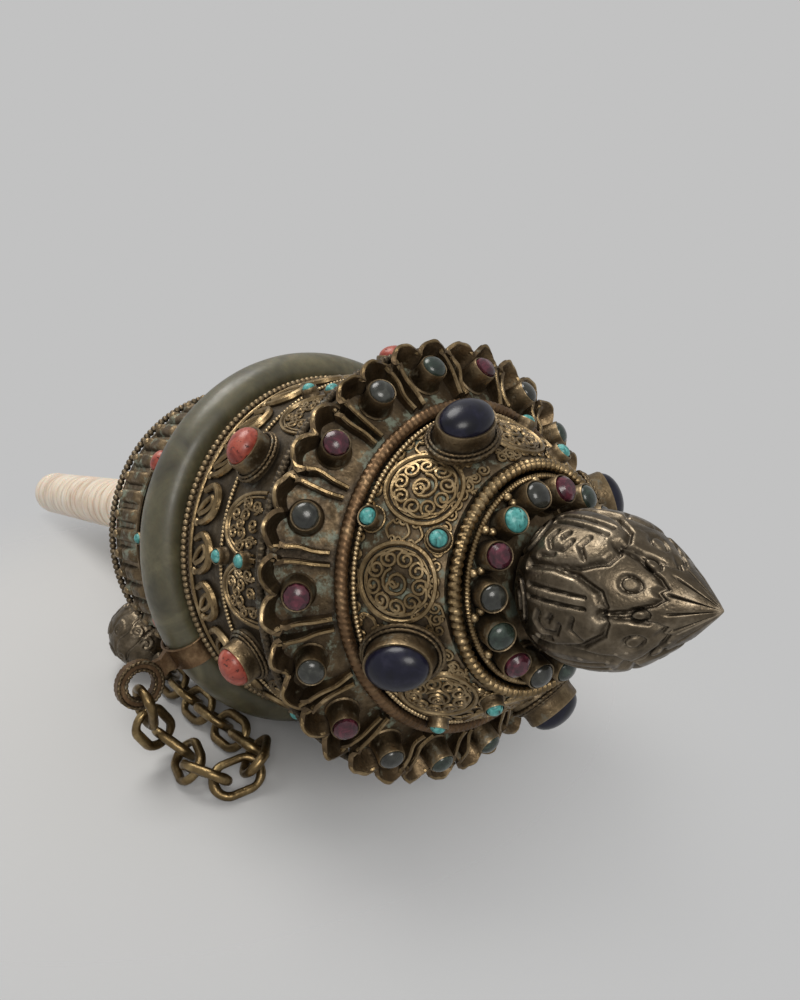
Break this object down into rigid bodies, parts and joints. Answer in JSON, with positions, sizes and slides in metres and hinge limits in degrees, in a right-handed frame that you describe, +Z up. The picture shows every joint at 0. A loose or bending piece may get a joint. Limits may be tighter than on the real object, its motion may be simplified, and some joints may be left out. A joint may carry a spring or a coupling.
{
  "type": "prayer wheel",
  "caption": "Hand prayer wheel lying on its side: a jewelled drum that spins on a ringed handle, with a lift-off crown lid, a stone ring, a chain and a weight ball.",
  "frame": {"origin": "bottom centre of the bounding box, on the surface the wheel lies on", "axes": "+Z up; +X along the spin axis towards the finial, seen from above; +Y to the left of +X, away from the chain"},
  "size_m": [0.3, 0.0952, 0.0892],
  "materials": {
    "bronze": "aged bronze with dark patina in its recesses",
    "gilt": "worn gilt brass wire and bezels",
    "copper": "aged copper",
    "pewter": "chased silver-grey metal, tarnished",
    "steel": "turned steel rod",
    "jade": "polished grey-green jade",
    "shell": "polished cream shell discs",
    "coral": "polished red coral with pits",
    "lapis": "polished dark blue lapis",
    "turquoise": "polished turquoise",
    "ruby": "dark pink glass",
    "smoke_glass": "grey glass",
    "paper": "rolled paper with a cloth wrap"
  },
  "bodies": {
    "handle": {"axle_rod": "steel", "handle_grip": "shell", "handle_ferrule": "gilt", "thrust_washer": "gilt", "butt_plug": "gilt"},
    "finial": {"finial": "pewter"},
    "drum": {"base_plate": "bronze", "base_bead_rim": "bronze", "base_bush": "gilt", "barrel": "copper", "lower_sleeve": "bronze", "petal_band": "bronze", "jade_ring": "jade", "jade_bead_ring": "bronze", "upper_sleeve": "bronze", "core_tube": "gilt", "mantra_scroll": "paper", "ring_clamp": "copper", "coral_bezel_1": "gilt", "coral_bezel_2": "gilt", "coral_bezel_3": "gilt", "coral_bezel_4": "gilt", "coral_bezel_5": "gilt", "coral_bezel_6": "gilt", "coral_1": "coral", "coral_2": "coral", "coral_3": "coral", "coral_4": "coral", "coral_5": "coral", "coral_6": "coral"},
    "lid": {"crown_flange": "bronze", "crown_rope_rim": "bronze", "copper_rope_ring": "copper", "dome": "bronze", "thick_rope_ring": "gilt", "thin_rope_ring": "gilt", "top_plate": "bronze", "top_bush": "gilt", "lapis_bezel_1": "gilt", "lapis_bezel_2": "gilt", "lapis_bezel_3": "gilt", "lapis_bezel_4": "gilt", "lapis_1": "lapis", "lapis_2": "lapis", "lapis_3": "lapis", "lapis_4": "lapis"},
    "link_01": {"chain_link_01": "gilt"},
    "link_02": {"chain_link_02": "gilt"},
    "link_03": {"chain_link_03": "gilt"},
    "link_04": {"chain_link_04": "gilt"},
    "link_05": {"chain_link_05": "gilt"},
    "link_06": {"chain_link_06": "gilt"},
    "link_07": {"chain_link_07": "gilt"},
    "link_08": {"chain_link_08": "gilt"},
    "link_09": {"chain_link_09": "gilt"},
    "link_10": {"chain_link_10": "gilt"},
    "link_11": {"chain_link_11": "gilt"},
    "link_12": {"chain_link_12": "gilt"},
    "link_13": {"chain_link_13": "gilt"},
    "weight": {"weight_ball": "pewter"}
  },
  "joints": [
    {"name": "drum_spin", "type": "hinge", "parent": "handle", "child": "drum", "pos_m": [0.09518, 0.00352, 0.04959], "axis": [0.9858, 0, 0.1682], "continuous": true},
    {"name": "lid_lift", "type": "slide", "parent": "drum", "child": "lid", "axis": [0.9858, 0, 0.1682], "range_m": [0, 0.045]},
    {"name": "finial_unscrew", "type": "slide", "parent": "handle", "child": "finial", "axis": [0.9858, 0, 0.1682], "range_m": [0, 0.0675]},
    {"name": "link_01_swing", "type": "hinge", "parent": "drum", "child": "link_01", "pos_m": [0.0571, -0.04262, 0.01829], "axis": [0, 1, 0], "range_deg": [-20, 5]},
    {"name": "link_02_swing", "type": "hinge", "parent": "link_01", "child": "link_02", "pos_m": [0.05419, -0.04102, 0.01196], "axis": [-0.9131, -0.1087, 0.3931], "range_deg": [0, 20]},
    {"name": "link_03_swing", "type": "hinge", "parent": "link_02", "child": "link_03", "pos_m": [0.05381, -0.03726, 0.00581], "axis": [0.0894, -0.8469, -0.5241], "range_deg": [-8, 5]},
    {"name": "link_04_swing", "type": "hinge", "parent": "link_03", "child": "link_04", "pos_m": [0.05894, -0.03359, 0.00252], "axis": [0.6796, -0.3945, 0.6184], "range_deg": [-5, 2]},
    {"name": "link_05_swing", "type": "hinge", "parent": "link_04", "child": "link_05", "pos_m": [0.06644, -0.03693, 0.00381], "axis": [-0.183, -0.6831, -0.707], "range_deg": [-5, 20]},
    {"name": "link_06_swing", "type": "hinge", "parent": "link_05", "child": "link_06", "pos_m": [0.0726, -0.03275, 0.0041], "axis": [0.3755, -0.6012, 0.7054], "range_deg": [0, 20]},
    {"name": "link_07_swing", "type": "hinge", "parent": "link_06", "child": "link_07", "pos_m": [0.07305, -0.02528, 0.00403], "axis": [0.7092, -0.05, -0.7032], "range_deg": [-18, 0]},
    {"name": "link_08_swing", "type": "hinge", "parent": "link_07", "child": "link_08", "pos_m": [0.06635, -0.02153, 0.00454], "axis": [0.3862, 0.5944, 0.7054], "range_deg": [-20, 6]},
    {"name": "link_09_swing", "type": "hinge", "parent": "link_08", "child": "link_09", "pos_m": [0.05908, -0.02285, 0.0036], "axis": [0.037, -0.7062, 0.707], "range_deg": [-5, 20]},
    {"name": "link_10_swing", "type": "hinge", "parent": "link_09", "child": "link_10", "pos_m": [0.05201, -0.02351, 0.00364], "axis": [-0.0616, 0.7044, 0.7071], "range_deg": [-20, 5]},
    {"name": "link_11_swing", "type": "hinge", "parent": "link_10", "child": "link_11", "pos_m": [0.04491, -0.02384, 0.00369], "axis": [0.037, -0.7061, 0.7071], "range_deg": [-5, 20]},
    {"name": "link_12_swing", "type": "hinge", "parent": "link_11", "child": "link_12", "pos_m": [0.03781, -0.02377, 0.00362], "axis": [0, -0.7071, -0.7071], "range_deg": [-6, 20]},
    {"name": "link_13_swing", "type": "hinge", "parent": "link_12", "child": "link_13", "pos_m": [0.03072, -0.02348, 0.00366], "axis": [0.0247, 0.7067, -0.7071], "range_deg": [-20, 6]},
    {"name": "weight_swing", "type": "hinge", "parent": "link_13", "child": "weight", "pos_m": [0.02362, -0.02323, 0.00366], "axis": [-0.0247, -0.7067, -0.7071], "range_deg": [-8, 20]}
  ],
  "couplings": [
    {"joint": "finial_unscrew", "follows": "lid_lift", "ratio": 1.5}
  ]
}
